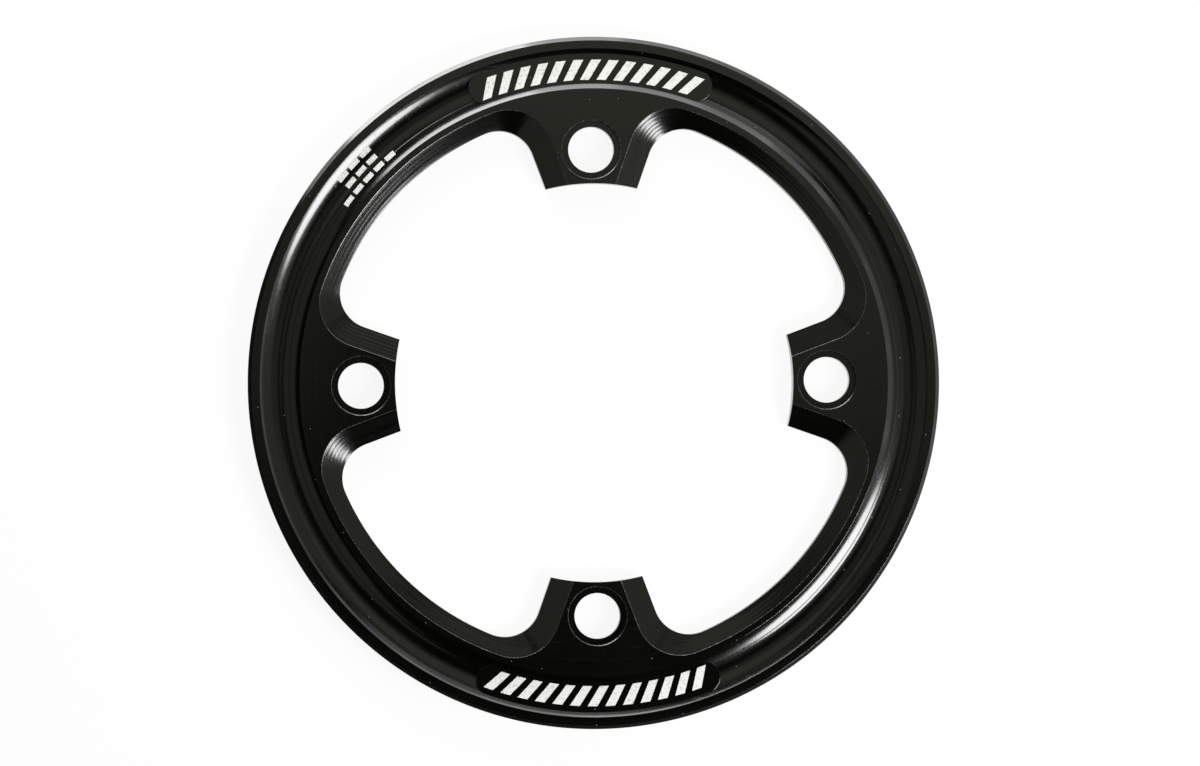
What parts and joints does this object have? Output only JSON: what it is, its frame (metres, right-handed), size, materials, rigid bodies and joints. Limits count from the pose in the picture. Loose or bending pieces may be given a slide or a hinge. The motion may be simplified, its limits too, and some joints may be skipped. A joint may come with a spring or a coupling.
{
  "type": "chainring guard",
  "caption": "Flat round guard ring for a bicycle crank: a rim with a dished channel, bolt tabs that reach inwards and sloped windows, fixed in place of the outer chainring.",
  "frame": {"origin": "on the ring's axis, in the flat back face that seats on the crank's spider", "axes": "+Z along the ring's axis, out of the front face; +X and +Y through the middle of a bolt tab; the flat pads in the channel lie on +Y and -Y"},
  "size_m": [0.1544, 0.1544, 0.005],
  "materials": {
    "black_anodised": "satin black anodised over machined aluminium"
  },
  "bodies": {
    "root": {"guard_ring": "black_anodised"}
  },
  "joints": []
}
